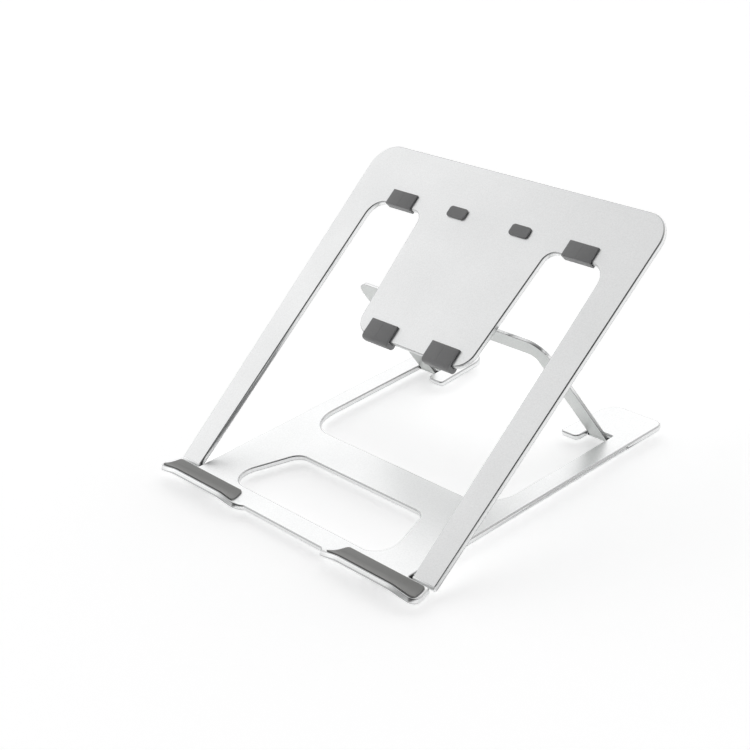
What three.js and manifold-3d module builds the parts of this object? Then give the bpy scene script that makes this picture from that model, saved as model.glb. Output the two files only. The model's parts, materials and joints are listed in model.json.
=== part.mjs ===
// Foldable sheet-metal laptop stand.
//
// A base plate lies flat on the desk. A top plate is hinged to its front corners by two
// cross pins and leans back at the working angle. A prop bracket, hinged near the back of
// the base, stands under the tongue of the top plate and holds it up. Base, plate and prop
// are cut so that they nest in one plate thickness when the stand is folded.
//
// Millimetres, +Z up, X across the stand, Y towards the back.
// Inside the three sub-assemblies everything is measured from the front hinge axis, which
// runs along X through the middle of the plate thickness.
import * as THREE from 'three';
import { mergeVertices } from 'three/addons/utils/BufferGeometryUtils.js';
import Module from 'manifold-3d';

// ---------------------------------------------------------------- driving dimensions
const DEG = Math.PI / 180;
const CORNER_STEPS = 8;       // straight pieces in each quarter-turn corner
const ROUND_SIDES = 24;       // sides of pins, bores and other round pieces
const CUT_MARGIN = 1;         // how far a cutting solid runs past what it cuts

const sheet = 3.5;            // thickness of base plate and top plate
const standAngle = 35;        // top plate to base plate, degrees

const plate = {
  length: 247.5,              // hinge axis to far edge
  farWidth: 256.8,            // across the far edge
  endWidth: 243.2,            // across the two leg ends
  cornerRadius: 17.5,
  openingWidth: 206.8,        // between the two legs
  barDepth: 40.7,             // solid bar above the slots
  slotOuterRadius: 11.5,
  slotInnerRadius: 8,
  slotWidth: 46.9,            // leg to tongue, at the top of a slot
  tongueTaper: 5.7,           // each side of the tongue comes in by this towards its end
  tongueLength: 87.1,
  tongueRadius: 12.8,
};

const base = {
  hingeGap: 1.7,              // between a leg of the top plate and the base
  armWidth: 14.8,
  endGap: 1.9,                // end of the base to the top of the slots when folded
  endRadius: 6,
  paddleRadius: 11,
  nestGap: 1.3,               // paddle to tongue when folded
  pivotInset: 32.9,           // prop pivot axis to end of the base
  uRadius: 22.5,              // front corners of the large U cut
  middleBarDepth: 27.3,       // bar between the U cut and the front cut-out
  cutFront: 0.4,              // front edge of the front cut-out
  cutFrontSide: 24.2,         // outer side of an arm to the front corner of the cut-out
  cutRearSide: 42.7,          // outer side of an arm to its rear corner
  cutFrontRadius: 13,
  cutRearRadius: 10,
  frontEdge: -14.1,           // front edge between the two lips
  wingRear: -2.6,             // rear edge of the wings in front of the legs
  wingInset: 2.1,             // outer side of a leg's end to the rear end of a wing
  wingRadius: 1.5,
};

const lip = {
  bendStart: -9.5,            // where the sheet starts to curl up
  insideRadius: 9,
  angle: 59,                  // degrees turned at the rim
  innerEnd: 38,               // half the gap between the two lips
  blend: 5,                   // length over which a lip rises out of the front edge
  blendSteps: 6,
  taper: 22,                  // length over which both ends of a lip open out
  taperSteps: 5,
  endTurn: 0.5,               // share of the curl left at an end
  endLength: 0.9,             // share of the length left at an end
  overhang: 2.9,              // outer side of a leg's end to the end of the rim
  cornerRadius: 4,            // rounding of the rim's outer corner
  cornerSteps: 4,
  curveSteps: 9,
};

const prop = {
  thickness: 2.1,
  overCentre: 7.4,            // degrees past square to the top plate
  sideGap: 1.2,               // leg to arm and leg to finger tab
  legWidth: 14.3,
  headGap: 1.3,               // head to underside of the top plate
  headRise: 3.9,              // head above the crossbar
  headWidth: 80,
  headRadius: 5,
  headFillet: 8,
  barDepth: 14.2,
  outerRadius: 13.5,
  innerRadius: 5,
  foldGap: 2,                 // head to front edge of the U cut when folded
  barrelDiameter: 3.2,        // round end of each leg
  swingGap: 1.5,              // barrel to closed end of its slot
};

const tab = {
  reach: 10,                  // finger tab in front of the prop pivot axis
  innerRadius: 2.5,
  outerRadius: 4,
  slotRadius: 0.8,
};

const hingePin = { diameter: 1.8, inBase: 13, inLeg: 15 };
const propPin = { diameter: 1.5, inTab: 9, recess: 0.9 };
const pin = { chamfer: 0.3, boreGap: 0.1 };
const washer = { diameter: 3.1, boreGap: 0.15, sideGap: 0.2 };

const padSeat = 0.15;         // glue line under every soft pad
const clip = {                // moulded pads that hook over an edge of the top plate
  upper: { fromLeg: 23.8, width: 23, onTop: 10.2, under: 6, top: 1.1, edge: 0.9, bottom: 0.8,
    hook: 0.8 },
  lower: { centre: 28, width: 23.6, onTop: 10.9, under: 8, top: 1.4, edge: 3.2, bottom: 2.9,
    hook: 1.0 },              // the underside slopes from bottom to hook, clear of the prop
};
const dot = { centre: 28, width: 16, depth: 7.6, thickness: 1.1, radius: 2.2, aboveSlot: 6.5 };
const frontPad = { innerGap: 8, outerGap: 2.5, thickness: 0.9, rearEdge: -4.2, belowRim: 0.8,
  innerSlant: 6, outerSlant: 4, radius: 2.5 };

const foot = { width: 26, depth: 9, thickness: 3.4, radius: 4.4, frontInsetX: 15.7, frontY: -4.9,
  rearInsetX: 26, rearInsetY: 13 };

const rail = { width: 60, depth: 8, thickness: 2.2, radius: 2, headClearance: 0.5 };
const screw = { spacing: 44, headDiameter: 3.6, headDepth: 1.1, rimDepth: 0.2,
  shankDiameter: 2, inPlate: 2, gap: 0.12, recess: 0.15 };

// ---------------------------------------------------------------- derived sizes
const half = sheet / 2;
const slotTop = plate.length - plate.barDepth;
const tongueEnd = slotTop - plate.tongueLength;
const legInner = plate.openingWidth / 2;
const armOuter = legInner - base.hingeGap;
const armInner = armOuter - base.armWidth;
const baseEnd = slotTop - base.endGap;
const pivotY = baseEnd - base.pivotInset;
const lipLength = lip.insideRadius * lip.angle * DEG;
const tongueRoot = legInner - plate.slotWidth;
const tongueTip = tongueRoot - plate.tongueTaper;
const lipEnd = plate.endWidth / 2 + lip.overhang;
const wingEnd = plate.endWidth / 2 - base.wingInset;
const frontPadInner = lip.innerEnd + frontPad.innerGap;
const frontPadOuter = lipEnd - frontPad.outerGap;

const propAngle = 90 - standAngle + prop.overCentre;
const propHead = (pivotY * Math.sin(standAngle * DEG) - half - prop.headGap)
  / Math.cos(prop.overCentre * DEG) - prop.thickness / 2 * Math.tan(prop.overCentre * DEG);
const propBar = propHead - prop.headRise;
const propInside = propBar - prop.barDepth;
const propHalf = armInner - prop.sideGap;
const propLegInner = propHalf - prop.legWidth;
const tabOuter = propLegInner - prop.sideGap;
const uFront = pivotY - propHead - prop.foldGap;
const slotEnd = pivotY + prop.barrelDiameter / 2 + prop.swingGap;

// half width of the tongue at a distance s from the hinge axis
const tongueHalf = (s) => THREE.MathUtils.lerp(tongueTip, tongueRoot,
  (s - tongueEnd) / plate.tongueLength);

// ---------------------------------------------------------------- materials
const metal = (color) => new THREE.MeshStandardMaterial({ color, roughness: 0.45, metalness: 0.9 });
const rubber = (color) => new THREE.MeshStandardMaterial({ color, roughness: 0.7, metalness: 0 });
const finish = {
  plate: metal(0xd9dbdc),
  base: metal(0xdfe0e1),
  prop: metal(0xc9ccca),
  pin: new THREE.MeshStandardMaterial({ color: 0xb4b6b8, roughness: 0.3, metalness: 1 }),
  washer: new THREE.MeshStandardMaterial({ color: 0x2a2b2c, roughness: 0.55, metalness: 0 }),
  clip: rubber(0x6c6c6d),
  frontPad: rubber(0x82827f),
  foot: rubber(0x5a5b5c),
  rail: new THREE.MeshStandardMaterial({ color: 0x3c3d3f, roughness: 0.6, metalness: 0 }),
  screw: new THREE.MeshStandardMaterial({ color: 0x9fa1a3, roughness: 0.35, metalness: 1 }),
};

// ---------------------------------------------------------------- solids and booleans
const wasm = await Module();
wasm.setup();

// closed solid for joining and cutting, from any closed geometry
function solid(geometry) {
  const bare = geometry.index ? geometry.toNonIndexed() : geometry.clone();
  bare.deleteAttribute('normal');
  bare.deleteAttribute('uv');
  const merged = mergeVertices(bare, 1e-4);
  return new wasm.Manifold(new wasm.Mesh({
    numProp: 3,
    vertProperties: new Float32Array(merged.attributes.position.array),
    triVerts: new Uint32Array(merged.index.array),
  }));
}

// geometry of a finished solid
function geometryOf(body) {
  const mesh = body.getMesh();
  const geometry = new THREE.BufferGeometry();
  geometry.setAttribute('position', new THREE.BufferAttribute(mesh.vertProperties.slice(), 3));
  geometry.setIndex(new THREE.BufferAttribute(mesh.triVerts.slice(), 1));
  geometry.computeVertexNormals();
  return geometry;
}

// closed path through corners [x, y, radius], each corner rounded by an arc
function roundedPoints(corners) {
  const points = [];
  corners.forEach(([x, y, radius = 0], i) => {
    const corner = new THREE.Vector2(x, y);
    const before = corners[(i + corners.length - 1) % corners.length];
    const after = corners[(i + 1) % corners.length];
    const toBefore = new THREE.Vector2(before[0] - x, before[1] - y);
    const toAfter = new THREE.Vector2(after[0] - x, after[1] - y);
    const angle = Math.acos(toBefore.clone().normalize().dot(toAfter.clone().normalize()));
    if (radius <= 0 || angle > Math.PI - 1e-3) {
      points.push(corner);
      return;
    }
    const setBack = radius / Math.tan(angle / 2);
    const start = corner.clone().addScaledVector(toBefore.normalize(), setBack);
    const end = corner.clone().addScaledVector(toAfter.normalize(), setBack);
    const bisector = toBefore.clone().add(toAfter).normalize();
    const centre = corner.clone().addScaledVector(bisector, radius / Math.sin(angle / 2));
    const from = Math.atan2(start.y - centre.y, start.x - centre.x);
    let turn = Math.atan2(end.y - centre.y, end.x - centre.x) - from;
    turn -= Math.round(turn / (2 * Math.PI)) * 2 * Math.PI;
    const steps = Math.max(2, Math.ceil(CORNER_STEPS * Math.abs(turn) / (Math.PI / 2)));
    for (let k = 0; k <= steps; k += 1) {
      const a = from + turn * k / steps;
      points.push(new THREE.Vector2(centre.x + radius * Math.cos(a), centre.y + radius * Math.sin(a)));
    }
  });
  return points;
}

// corners of the right half, from one point on the centre line to the other, made whole
function mirrored(rightHalf) {
  const leftHalf = rightHalf.map(([x, y, radius]) => [-x, y, radius]).reverse();
  return [...rightHalf, ...leftHalf];
}

function extrude(points, depth, holes = []) {
  const shape = new THREE.Shape(points);
  shape.holes = holes.map((hole) => new THREE.Path(hole));
  return new THREE.ExtrudeGeometry(shape, { depth, bevelEnabled: false, steps: 1 });
}

// flat sheet cut to an outline, centred on its own thickness
function sheetSolid(corners, thickness, holes = []) {
  const geometry = extrude(roundedPoints(corners), thickness, holes.map(roundedPoints));
  return solid(geometry.translate(0, 0, -thickness / 2));
}

// outline in the Y-Z plane carried along X from x0 to x1
function alongX(points, x0, x1) {
  const geometry = extrude(points, x1 - x0);
  const axes = new THREE.Matrix4().makeBasis(
    new THREE.Vector3(0, 1, 0), new THREE.Vector3(0, 0, 1), new THREE.Vector3(1, 0, 0));
  return geometry.applyMatrix4(axes).translate(x0, 0, 0);
}

// round bar along X from x0 to x1, with its axis at y, z
function barX(diameter, x0, x1, y = 0, z = 0, chamfer = 0) {
  const r = diameter / 2;
  const profile = chamfer > 0
    ? [[0, x0], [r - chamfer, x0], [r, x0 + chamfer], [r, x1 - chamfer], [r - chamfer, x1], [0, x1]]
    : [[0, x0], [r, x0], [r, x1], [0, x1]];
  const points = profile.map(([radius, x]) => new THREE.Vector2(radius, x));
  const geometry = new THREE.LatheGeometry(points, ROUND_SIDES);
  return geometry.rotateZ(-Math.PI / 2).translate(0, y, z);
}

// a mesh for either side of the stand, the left one a mirror image of the right
function bothSides(name, material, buildRight) {
  return ['right', 'left'].map((side) => {
    const body = buildRight();
    const mesh = new THREE.Mesh(geometryOf(side === 'right' ? body : body.mirror([1, 0, 0])), material);
    mesh.name = `${name}_${side}`;
    return mesh;
  });
}

function namedMesh(name, material, body) {
  const mesh = new THREE.Mesh(geometryOf(body), material);
  mesh.name = name;
  return mesh;
}

// ---------------------------------------------------------------- base plate
// sections [y, z] at stations along X joined into one closed solid; every section is
// drawn anticlockwise seen from +X and has the same number of corners
function loftX(stations, sectionAt) {
  const sections = stations.map(sectionAt);
  const count = sections[0].length;
  const positions = sections.flatMap((section, i) => section.flatMap(([y, z]) => [stations[i], y, z]));
  const index = [];
  for (let i = 0; i + 1 < sections.length; i += 1) {
    for (let k = 0; k < count; k += 1) {
      const a = i * count + k;
      const b = i * count + (k + 1) % count;
      index.push(a, b, b + count, a, b + count, a + count);
    }
  }
  const cap = (section) => THREE.ShapeUtils.triangulateShape(
    section.map(([y, z]) => new THREE.Vector2(y, z)), []);
  const last = (sections.length - 1) * count;
  cap(sections[0]).forEach(([a, b, c]) => index.push(a, c, b));
  cap(sections[sections.length - 1]).forEach(([a, b, c]) => index.push(last + a, last + b, last + c));
  const geometry = new THREE.BufferGeometry();
  geometry.setAttribute('position', new THREE.Float32BufferAttribute(positions, 3));
  geometry.setIndex(index);
  return solid(geometry);
}

// how far the sheet runs past the bend start at x, and how many radians it turns up
function lipAt(x) {
  const flat = lip.bendStart - base.frontEdge;
  const fullness = THREE.MathUtils.smoothstep(Math.min(x - lip.innerEnd, lipEnd - x), 0, lip.taper);
  const opening = THREE.MathUtils.lerp(lip.endTurn, 1, fullness);
  const full = lipLength * THREE.MathUtils.lerp(lip.endLength, 1, fullness);
  const share = THREE.MathUtils.clamp((x - lip.innerEnd) / lip.blend, 0, 1);
  const pastCorner = Math.max(0, x - (lipEnd - lip.cornerRadius));
  const cornerLoss = lip.cornerRadius - Math.sqrt(Math.max(0, lip.cornerRadius ** 2 - pastCorner ** 2));
  const length = THREE.MathUtils.lerp(flat, full, share) - cornerLoss;
  const curled = THREE.MathUtils.smoothstep(share, 0, 1) * opening;
  return { length, turn: length / lip.insideRadius * curled };
}

// half width of the wings at y: their sides run straight from the rim to their rear edge
function wingSide(y) {
  const rim = lip.bendStart - lip.insideRadius * Math.sin(lip.angle * DEG);
  const share = (y - base.wingRear) / (rim - base.wingRear);
  return THREE.MathUtils.lerp(wingEnd, lipEnd, share);
}

// points up the curve of the lip, at a height above the upper face of the sheet
function curl({ length, turn }, height, shorter = 0) {
  const points = [];
  for (let k = 0; k <= lip.curveSteps; k += 1) {
    const run = (length - shorter) * k / lip.curveSteps;
    const angle = turn * run / length;
    const radius = turn > 1e-3 ? length / turn : 0;
    points.push(radius > 0
      ? [lip.bendStart - (radius - height) * Math.sin(angle),
        half + radius - (radius - height) * Math.cos(angle)]
      : [lip.bendStart - run, half + height]);
  }
  return points;
}

function steps(from, to, count) {
  return Array.from({ length: count + 1 }, (_, i) => THREE.MathUtils.lerp(from, to, i / count));
}

function lipStations() {
  const fullHeight = lip.innerEnd + lip.blend;
  const cornerStart = lipEnd - lip.cornerRadius;
  const corner = steps(0, 90, lip.cornerSteps)
    .map((a) => cornerStart + lip.cornerRadius * Math.sin(a * DEG) * 0.999);
  return [
    ...steps(lip.innerEnd, fullHeight, lip.blendSteps),
    ...steps(fullHeight, lip.innerEnd + lip.taper, lip.taperSteps).slice(1),
    ...steps(lipEnd - lip.taper, cornerStart, lip.taperSteps).slice(0, -1),
    ...corner,
  ];
}

function lipSolid() {
  const root = lip.bendStart + CUT_MARGIN;
  const curled = loftX(lipStations(), (x) => {
    const here = lipAt(x);
    return [...curl(here, -sheet).reverse(), [root, -half], [root, half], ...curl(here, 0)];
  });
  const front = lip.bendStart - 2 * lipLength;
  const plan = [[0, front], [wingSide(front), front], [wingSide(root), root], [0, root]];
  return curled.intersect(sheetSolid(plan, 8 * sheet));
}

function baseOutline() {
  const tabFront = pivotY - tab.reach;
  const paddleEdge = (y) => tongueHalf(y) + base.nestGap;
  return mirrored([
    [0, base.frontEdge],
    [lip.innerEnd, base.frontEdge],
    [lip.innerEnd, lip.bendStart],
    [wingSide(lip.bendStart), lip.bendStart],
    [wingEnd, base.wingRear, base.wingRadius],
    [armOuter, base.wingRear, 1],
    [armOuter, baseEnd, base.endRadius],
    [paddleEdge(baseEnd), baseEnd, base.paddleRadius],
    [paddleEdge(tabFront), tabFront, tab.innerRadius],
    [tabOuter, tabFront, tab.outerRadius],
    [tabOuter, slotEnd, tab.slotRadius],
    [armInner, slotEnd, tab.slotRadius],
    [armInner, uFront, base.uRadius],
    [0, uFront],
  ]);
}

function frontCutOut() {
  return mirrored([
    [0, base.cutFront],
    [armOuter - base.cutFrontSide, base.cutFront, base.cutFrontRadius],
    [armOuter - base.cutRearSide, uFront - base.middleBarDepth, base.cutRearRadius],
    [0, uFront - base.middleBarDepth],
  ]);
}

function basePlate() {
  let body = sheetSolid(baseOutline(), sheet, [frontCutOut()]);
  const rightLip = lipSolid();
  body = body.add(rightLip).add(rightLip.mirror([1, 0, 0]));
  const bores = [
    barX(hingePin.diameter + 2 * pin.boreGap, armOuter - hingePin.inBase - pin.boreGap,
      armOuter + CUT_MARGIN),
    barX(propPin.diameter + 2 * pin.boreGap, tabOuter - propPin.inTab - pin.boreGap,
      armOuter + CUT_MARGIN, pivotY),
  ];
  bores.map(solid).forEach((bore) => {
    body = body.subtract(bore).subtract(bore.mirror([1, 0, 0]));
  });
  return body;
}

// ---------------------------------------------------------------- top plate
function plateOutline() {
  return mirrored([
    [0, tongueEnd],
    [tongueTip, tongueEnd, plate.tongueRadius],
    [tongueRoot, slotTop, plate.slotInnerRadius],
    [legInner, slotTop, plate.slotOuterRadius],
    [legInner, 0],
    [plate.endWidth / 2, 0],
    [plate.farWidth / 2, plate.length, plate.cornerRadius],
    [0, plate.length],
  ]);
}

// where the head of the prop stands under the plate, measured along the plate
function railFront() {
  const along = pivotY * Math.cos(standAngle * DEG) + propHead * Math.sin(prop.overCentre * DEG);
  return along + prop.thickness / 2 * Math.cos(prop.overCentre * DEG) + rail.headClearance;
}

function screwBore(gap) {
  const top = -half - padSeat;
  return barX(screw.shankDiameter + 2 * gap, 0, screw.inPlate + padSeat + rail.thickness)
    .rotateY(-Math.PI / 2)
    .translate(screw.spacing / 2, railFront() + rail.depth / 2, top - rail.thickness);
}

function topPlate() {
  let body = sheetSolid(plateOutline(), sheet);
  const legEnd = solid(barX(sheet, legInner, plate.endWidth / 2));
  const bore = solid(barX(hingePin.diameter + 2 * pin.boreGap, legInner - CUT_MARGIN,
    legInner + hingePin.inLeg + pin.boreGap));
  const thread = solid(screwBore(screw.gap));
  [legEnd, legEnd.mirror([1, 0, 0])].forEach((end) => { body = body.add(end); });
  [bore, thread].forEach((cut) => {
    body = body.subtract(cut).subtract(cut.mirror([1, 0, 0]));
  });
  return body;
}

// ---------------------------------------------------------------- prop bracket
function propBracket() {
  const outline = mirrored([
    [0, propInside],
    [propLegInner, propInside, prop.innerRadius],
    [propLegInner, 0],
    [propHalf, 0],
    [propHalf, propBar, prop.outerRadius],
    [prop.headWidth / 2, propBar, prop.headFillet],
    [prop.headWidth / 2 - prop.headRise * 0.6, propHead, prop.headRadius * 0.5],
    [0, propHead],
  ]);
  let body = sheetSolid(outline, prop.thickness);
  const barrel = solid(barX(prop.barrelDiameter, propLegInner, propHalf));
  const bore = solid(barX(propPin.diameter + 2 * pin.boreGap, propLegInner - CUT_MARGIN,
    propHalf + CUT_MARGIN));
  [barrel, barrel.mirror([1, 0, 0])].forEach((end) => { body = body.add(end); });
  [bore, bore.mirror([1, 0, 0])].forEach((cut) => { body = body.subtract(cut); });
  return body;
}

// ---------------------------------------------------------------- pins and washers
function ring(outer, inner, x0, x1, y = 0) {
  const body = solid(barX(outer, x0, x1, y));
  return body.subtract(solid(barX(inner, x0 - CUT_MARGIN, x1 + CUT_MARGIN, y)));
}

function pinsAndWashers() {
  const hinge = () => solid(barX(hingePin.diameter, armOuter - hingePin.inBase,
    legInner + hingePin.inLeg, 0, 0, pin.chamfer));
  const pivot = () => solid(barX(propPin.diameter, tabOuter - propPin.inTab,
    armOuter - propPin.recess, pivotY, 0, pin.chamfer));
  const hingeRing = () => ring(washer.diameter, hingePin.diameter + 2 * washer.boreGap,
    armOuter + washer.sideGap, legInner - washer.sideGap);
  const pivotRing = (x0, x1) => () => ring(washer.diameter, propPin.diameter + 2 * washer.boreGap,
    x0 + washer.sideGap, x1 - washer.sideGap, pivotY);
  return [
    ...bothSides('hinge_pin', finish.pin, hinge),
    ...bothSides('prop_pin', finish.pin, pivot),
    ...bothSides('hinge_washer', finish.washer, hingeRing),
    ...bothSides('prop_washer_outer', finish.washer, pivotRing(propHalf, armInner)),
    ...bothSides('prop_washer_inner', finish.washer, pivotRing(tabOuter, propLegInner)),
  ];
}

// ---------------------------------------------------------------- soft pads
// pad hooked over an edge of the top plate that faces the hinge, drawn in the Y-Z plane
function clipPad(edgeAt, centre, size) {
  const inside = { top: half + padSeat, bottom: -half - padSeat, edge: edgeAt - padSeat };
  const outside = {
    top: inside.top + size.top,
    bottom: inside.bottom - size.bottom,
    edge: inside.edge - size.edge,
  };
  const points = roundedPoints([
    [edgeAt + size.onTop, inside.top],
    [edgeAt + size.onTop, outside.top, size.top * 0.5],
    [outside.edge, outside.top, size.edge],
    [outside.edge, outside.bottom, size.edge],
    [edgeAt + size.under, inside.bottom - size.hook, size.hook * 0.5],
    [edgeAt + size.under, inside.bottom],
    [inside.edge, inside.bottom],
    [inside.edge, inside.top],
  ]);
  return solid(alongX(points, centre - size.width / 2, centre + size.width / 2));
}

function dotPad() {
  const w = dot.width / 2;
  const d = dot.depth / 2;
  const corners = [[-w, -d], [w, -d], [w, d], [-w, d]].map(([x, y]) => [x, y, dot.radius]);
  const geometry = extrude(roundedPoints(corners), dot.thickness);
  return solid(geometry.translate(dot.centre, slotTop + dot.aboveSlot, half + padSeat));
}

// strip that lines the curve between the base and a lip
function frontPadStrip() {
  const body = loftX(lipStations(), (x) => {
    const here = lipAt(x);
    const under = curl(here, padSeat, frontPad.belowRim);
    const over = curl(here, padSeat + frontPad.thickness, frontPad.belowRim);
    const floor = half + padSeat;
    return [...under.reverse(), [frontPad.rearEdge, floor],
      [frontPad.rearEdge, floor + frontPad.thickness], ...over];
  });
  const front = lip.bendStart - lip.insideRadius - 2 * frontPad.radius;
  const outline = roundedPoints([
    [frontPadInner, front],
    [frontPadOuter, front],
    [frontPadOuter - frontPad.outerSlant * 0.4, lip.bendStart, 0],
    [frontPadOuter - frontPad.outerSlant, frontPad.rearEdge, frontPad.radius],
    [frontPadInner + frontPad.innerSlant, frontPad.rearEdge, frontPad.radius],
    [frontPadInner, lip.bendStart - frontPad.radius, frontPad.radius],
  ]);
  return body.intersect(solid(extrude(outline, 4 * sheet)));
}

function footPad(x, y) {
  const w = foot.width / 2;
  const d = foot.depth / 2;
  const corners = [[-w, -d], [w, -d], [w, d], [-w, d]].map(([px, py]) => [px, py, foot.radius]);
  const geometry = extrude(roundedPoints(corners), foot.thickness - padSeat);
  return solid(geometry.translate(x, y, -half - foot.thickness));
}

// ---------------------------------------------------------------- prop stop under the tongue
function stopRail() {
  const w = rail.width / 2;
  const corners = [[-w, 0], [w, 0], [w, rail.depth], [-w, rail.depth]]
    .map(([x, y]) => [x, y, rail.radius]);
  const geometry = extrude(roundedPoints(corners), rail.thickness);
  let body = solid(geometry.translate(0, railFront(), -half - padSeat - rail.thickness));
  [screwSolid(screw.gap)].forEach((cut) => {
    body = body.subtract(cut).subtract(cut.mirror([1, 0, 0]));
  });
  return body;
}

// countersunk screw driven upwards; a positive gap makes the seat it sits in
function screwSolid(gap = 0) {
  const under = -half - padSeat - rail.thickness;
  const slot = under + screw.recess;
  const bottom = gap > 0 ? under - CUT_MARGIN : slot;
  const rim = slot + screw.rimDepth + gap / 2;
  const neck = slot + screw.headDepth + gap / 2;
  const tip = -half + screw.inPlate - screw.gap + gap;
  const head = screw.headDiameter / 2 + gap;
  const shank = screw.shankDiameter / 2 + gap;
  const profile = [[0, bottom], [head, bottom], [head, rim], [shank, neck], [shank, tip], [0, tip]];
  const points = profile.map(([radius, z]) => new THREE.Vector2(radius, z));
  const geometry = new THREE.LatheGeometry(points, ROUND_SIDES).rotateX(Math.PI / 2);
  return solid(geometry.translate(screw.spacing / 2, railFront() + rail.depth / 2, 0));
}

// ---------------------------------------------------------------- assembly
const baseGroup = new THREE.Group();
baseGroup.add(
  namedMesh('base_plate', finish.base, basePlate()),
  ...pinsAndWashers(),
  ...bothSides('front_pad', finish.frontPad, frontPadStrip),
  ...bothSides('foot_front', finish.foot, () => footPad(armOuter - foot.frontInsetX, foot.frontY)),
  ...bothSides('foot_rear', finish.foot,
    () => footPad(armOuter - foot.rearInsetX, baseEnd - foot.rearInsetY)),
);

const plateGroup = new THREE.Group();
plateGroup.rotation.x = standAngle * DEG;
plateGroup.add(
  namedMesh('top_plate', finish.plate, topPlate()),
  ...bothSides('upper_clip_pad', finish.clip,
    () => clipPad(slotTop, legInner - clip.upper.fromLeg, clip.upper)),
  ...bothSides('lower_clip_pad', finish.clip,
    () => clipPad(tongueEnd, clip.lower.centre, clip.lower)),
  ...bothSides('dot_pad', finish.clip, dotPad),
  namedMesh('stop_rail', finish.rail, stopRail()),
  ...bothSides('stop_screw', finish.screw, () => screwSolid()),
);

const propGroup = new THREE.Group();
propGroup.position.set(0, pivotY, 0);
propGroup.rotation.x = Math.PI - propAngle * DEG;
propGroup.add(namedMesh('prop_bracket', finish.prop, propBracket()));

const stand = new THREE.Group();
stand.add(baseGroup, plateGroup, propGroup);
stand.updateMatrixWorld(true);

// origin at the middle of the underside of the whole stand
const extent = new THREE.Box3().setFromObject(stand, true);
stand.position.set(0, -(extent.min.y + extent.max.y) / 2, -extent.min.z);

export default stand;
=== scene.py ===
"""Looks of a folding sheet-metal laptop stand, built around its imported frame.

Sizes in the classes are millimetres, measured in each sub-assembly's own plane from its
hinge axis. The places of the hinges come from the frame, and meshes end up in metres.
"""
import json
import logging
import math
from dataclasses import dataclass
from enum import Enum, IntEnum
from typing import Callable, Sequence

import bmesh
import bpy
import numpy as np
from mathutils import Matrix, Vector
from mathutils.geometry import tessellate_polygon


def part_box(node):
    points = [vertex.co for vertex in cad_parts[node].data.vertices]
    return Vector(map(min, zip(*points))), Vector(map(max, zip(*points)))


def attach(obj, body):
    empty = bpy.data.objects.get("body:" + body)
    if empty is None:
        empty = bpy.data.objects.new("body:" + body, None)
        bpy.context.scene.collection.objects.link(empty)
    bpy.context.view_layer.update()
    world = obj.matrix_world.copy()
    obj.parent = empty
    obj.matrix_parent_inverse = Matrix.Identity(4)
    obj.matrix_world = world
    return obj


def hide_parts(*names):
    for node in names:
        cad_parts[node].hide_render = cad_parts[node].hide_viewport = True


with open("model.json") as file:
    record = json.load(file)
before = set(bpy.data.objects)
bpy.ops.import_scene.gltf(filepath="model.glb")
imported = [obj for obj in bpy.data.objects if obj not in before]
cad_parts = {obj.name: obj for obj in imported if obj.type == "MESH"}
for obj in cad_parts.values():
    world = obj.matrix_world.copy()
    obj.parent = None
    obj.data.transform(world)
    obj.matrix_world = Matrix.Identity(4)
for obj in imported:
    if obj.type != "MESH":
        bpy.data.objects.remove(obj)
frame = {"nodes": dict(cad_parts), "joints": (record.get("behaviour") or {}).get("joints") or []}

LOG = logging.getLogger("laptop_stand")
MM = 0.001
SHEET = 3.5
HALF = SHEET / 2
PAD_SEAT = 0.15
STAND_ANGLE = math.radians(35.0)
PROP_TO_PLATE = math.radians(82.6)
CORNER_STEP = math.radians(6.0)
FEWEST_STEPS = 3
NEAR = 1e-4
ON_PLANE = 1e-5
NOISE_RANGE = (0.3, 0.7)

Array = np.ndarray
Corner = tuple[float, float, float]
Colour = tuple[float, float, float]
Placing = Callable[[Array], Array]
Tree = bpy.types.NodeTree
Node = bpy.types.Node
Socket = bpy.types.NodeSocket


class Side(Enum):
    """Which side of the middle plane a piece is on."""

    RIGHT = 1
    LEFT = -1

    @property
    def word(self) -> str:
        """The side as it ends a node's name."""
        return self.name.lower()


class Body(Enum):
    """The rigid bodies of the stand."""

    BASE = "base"
    TOP = "top"
    PROP = "prop"


class Zone(IntEnum):
    """Where on a cut sheet a face is, which is its material number too."""

    SKIN = 0
    RIM = 1
    CUT = 2


# ------------------------------------------------------------------ outlines
def rounded_outline(corners: Sequence[Corner]) -> Array:
    """Closed path through corners, each turned through an arc tangent to both sides.

    The arc of radius r at a corner of angle a starts r / tan(a / 2) before the corner, and
    its centre lies r / sin(a / 2) along the bisector.

    Args:
        corners: (x, y, radius) of each corner, in order.

    Returns:
        The points of the path, one row each.
    """
    points: list[Array] = []
    spots = np.array([c[:2] for c in corners], float)
    for i, (x, y, radius) in enumerate(corners):
        corner = np.array([x, y], float)
        to_before, to_after = spots[i - 1] - corner, spots[(i + 1) % len(spots)] - corner
        to_before = to_before / np.linalg.norm(to_before)
        to_after = to_after / np.linalg.norm(to_after)
        angle = math.acos(float(np.clip(to_before @ to_after, -1, 1)))
        if radius <= 0 or angle > math.pi - 10 * NEAR:
            points.append(corner[None])
            continue
        start = corner + to_before * radius / math.tan(angle / 2)
        bisector = (to_before + to_after) / np.linalg.norm(to_before + to_after)
        centre = corner + bisector * radius / math.sin(angle / 2)
        turn = math.pi - angle
        if to_before[0] * to_after[1] - to_before[1] * to_after[0] > 0:
            turn = -turn
        steps = max(FEWEST_STEPS, math.ceil(abs(turn) / CORNER_STEP))
        along = math.atan2(*(start - centre)[::-1]) + np.linspace(0, turn, steps + 1)
        points.append(centre + radius * np.stack([np.cos(along), np.sin(along)], 1))
    return np.concatenate(points)


def whole(right_half: Sequence[Corner]) -> list[Corner]:
    """The corners of the right half followed by their mirror images."""
    return [*right_half, *[(-x, y, r) for x, y, r in reversed(right_half)]]


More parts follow.
